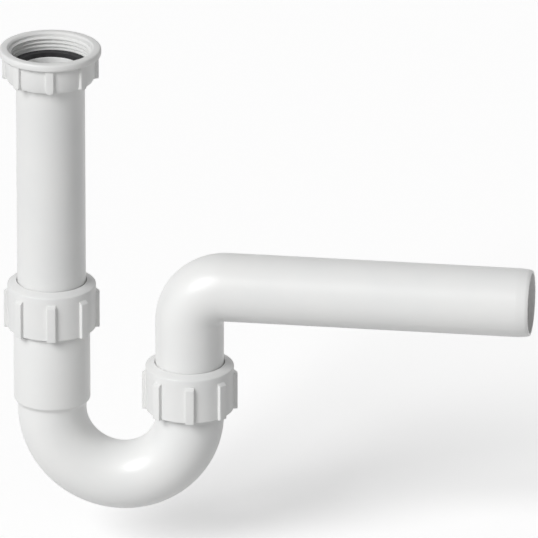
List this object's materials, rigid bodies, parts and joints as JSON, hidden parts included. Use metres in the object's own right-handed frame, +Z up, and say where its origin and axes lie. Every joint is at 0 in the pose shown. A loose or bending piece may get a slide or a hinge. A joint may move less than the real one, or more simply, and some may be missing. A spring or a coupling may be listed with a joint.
{
  "type": "tubular trap",
  "caption": "Tubular sink trap: a flanged inlet tube telescopes into a U-bend, an elbow with a long outlet pipe swivels in it, and ribbed nuts clamp the joints.",
  "frame": {"origin": "middle of the inlet gasket's top face, where the sink waste seats", "axes": "+Z up the inlet's axis, out of the union nut's mouth; +X along the outlet pipe, towards its end"},
  "size_m": [0.3105, 0.059, 0.2847],
  "materials": {
    "tube_plastic": "satin moulded",
    "nut_plastic": "satin moulded",
    "black_rubber": "matt moulded",
    "washer_plastic": "matt moulded"
  },
  "bodies": {
    "inlet_tube": {"inlet_tube": "tube_plastic", "inlet_gasket": "black_rubber"},
    "inlet_nut": {"inlet_nut": "nut_plastic"},
    "inlet_clamp_seal": {"inlet_clamp_seal": "black_rubber"},
    "trap_bend": {"trap_bend": "tube_plastic"},
    "inlet_clamp_washer": {"inlet_clamp_washer": "washer_plastic"},
    "inlet_clamp_nut": {"inlet_clamp_nut": "nut_plastic"},
    "outlet_bend": {"outlet_bend": "tube_plastic", "outlet_clamp_seal": "black_rubber"},
    "outlet_clamp_washer": {"outlet_clamp_washer": "washer_plastic"},
    "outlet_clamp_nut": {"outlet_clamp_nut": "nut_plastic"}
  },
  "joints": [
    {"name": "inlet_nut_turn", "type": "hinge", "parent": "inlet_tube", "child": "inlet_nut", "pos_m": [0, 0, 0], "axis": [0, 0, 1], "continuous": true},
    {"name": "height_slide", "type": "slide", "parent": "inlet_tube", "child": "inlet_clamp_seal", "axis": [0, 0, 1], "range_m": [-0.02, 0.02]},
    {"name": "trap_swivel", "type": "hinge", "parent": "inlet_clamp_seal", "child": "trap_bend", "pos_m": [0, 0, 0], "axis": [0, 0, 1], "continuous": true},
    {"name": "inlet_clamp_rise", "type": "slide", "parent": "trap_bend", "child": "inlet_clamp_washer", "axis": [0, 0, 1], "range_m": [0, 0.0121]},
    {"name": "inlet_clamp_nut_turn", "type": "hinge", "parent": "inlet_clamp_washer", "child": "inlet_clamp_nut", "pos_m": [0, 0, 0], "axis": [0, 0, 1], "range_deg": [0, 1080]},
    {"name": "outlet_clamp_rise", "type": "slide", "parent": "trap_bend", "child": "outlet_clamp_washer", "axis": [0, 0, 1], "range_m": [0, 0.0121]},
    {"name": "outlet_clamp_nut_turn", "type": "hinge", "parent": "outlet_clamp_washer", "child": "outlet_clamp_nut", "pos_m": [0.081, 0, 0], "axis": [0, 0, 1], "range_deg": [0, 1080]},
    {"name": "outlet_swivel", "type": "hinge", "parent": "trap_bend", "child": "outlet_bend", "pos_m": [0.081, 0, 0], "axis": [0, 0, 1], "range_deg": [-135, 135]}
  ],
  "couplings": [
    {"joint": "inlet_clamp_rise", "follows": "inlet_clamp_nut_turn", "m_per_rad": 0.00063662},
    {"joint": "outlet_clamp_rise", "follows": "outlet_clamp_nut_turn", "m_per_rad": 0.00063662}
  ]
}
